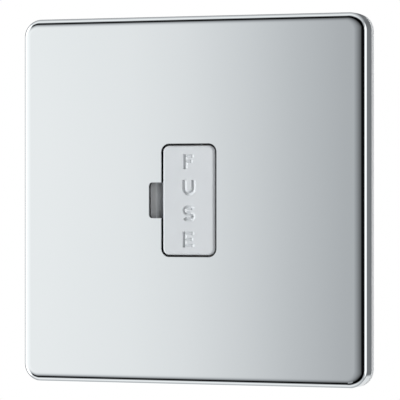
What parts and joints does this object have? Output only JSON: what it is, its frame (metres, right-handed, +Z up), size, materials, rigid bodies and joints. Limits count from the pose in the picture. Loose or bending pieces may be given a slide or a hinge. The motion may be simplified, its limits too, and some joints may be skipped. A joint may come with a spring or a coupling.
{
  "type": "fused spur unit",
  "caption": "Unswitched fused spur unit: square screwless polished cover on a pressed wall frame, with a pull-out cartridge fuse carrier and rear screw terminals.",
  "frame": {"origin": "on the wall plane, midway between the two fixing slots and at the centre of the cover", "axes": "+Y points into the wall and the cover faces -Y, +Z is up, +X is to the right seen from the front"},
  "size_m": [0.092, 0.0262, 0.092],
  "materials": {
    "polished_chrome": "mirror polished plate, slightly soft reflections",
    "pale_moulding": "pale grey moulding, fine satin",
    "zinc_steel": "bright zinc plating",
    "spring_steel": "rolled spring strip",
    "grey_moulding": "mid grey moulding, fine spark texture",
    "carrier_moulding": "light grey moulding, satin with a soft sheen",
    "fuse_ceramic": "off-white fired body",
    "nickel": "bright nickel plating",
    "brass": "machined brass",
    "bronze_strip": "rolled phosphor bronze strip"
  },
  "bodies": {
    "unit": {"mounting_frame": "zinc_steel", "frame_screws": "zinc_steel", "housing_screws": "zinc_steel", "cover_clips": "spring_steel", "cover_earth_spring": "spring_steel", "front_housing": "grey_moulding", "rear_housing": "grey_moulding", "live_terminal_screws": "nickel", "neutral_terminal_screws": "nickel", "earth_terminal_screws": "nickel", "supply_live_terminal": "brass", "load_live_terminal": "brass", "neutral_link": "brass", "earth_link": "brass", "supply_fuse_contact": "bronze_strip", "load_fuse_contact": "bronze_strip", "earth_strap": "bronze_strip", "contact_rivets": "bronze_strip", "earth_rivets": "bronze_strip"},
    "cover": {"front_plate": "polished_chrome", "plate_liner": "pale_moulding"},
    "carrier": {"fuse_carrier": "carrier_moulding", "fuse_barrel": "fuse_ceramic", "fuse_end_caps": "nickel"}
  },
  "joints": [
    {"name": "carrier_pull", "type": "slide", "parent": "unit", "child": "carrier", "axis": [0, -1, 0], "range_m": [0, 0.012]},
    {"name": "cover_lift", "type": "slide", "parent": "unit", "child": "cover", "axis": [0, -1, 0], "range_m": [0, 0.02]}
  ]
}
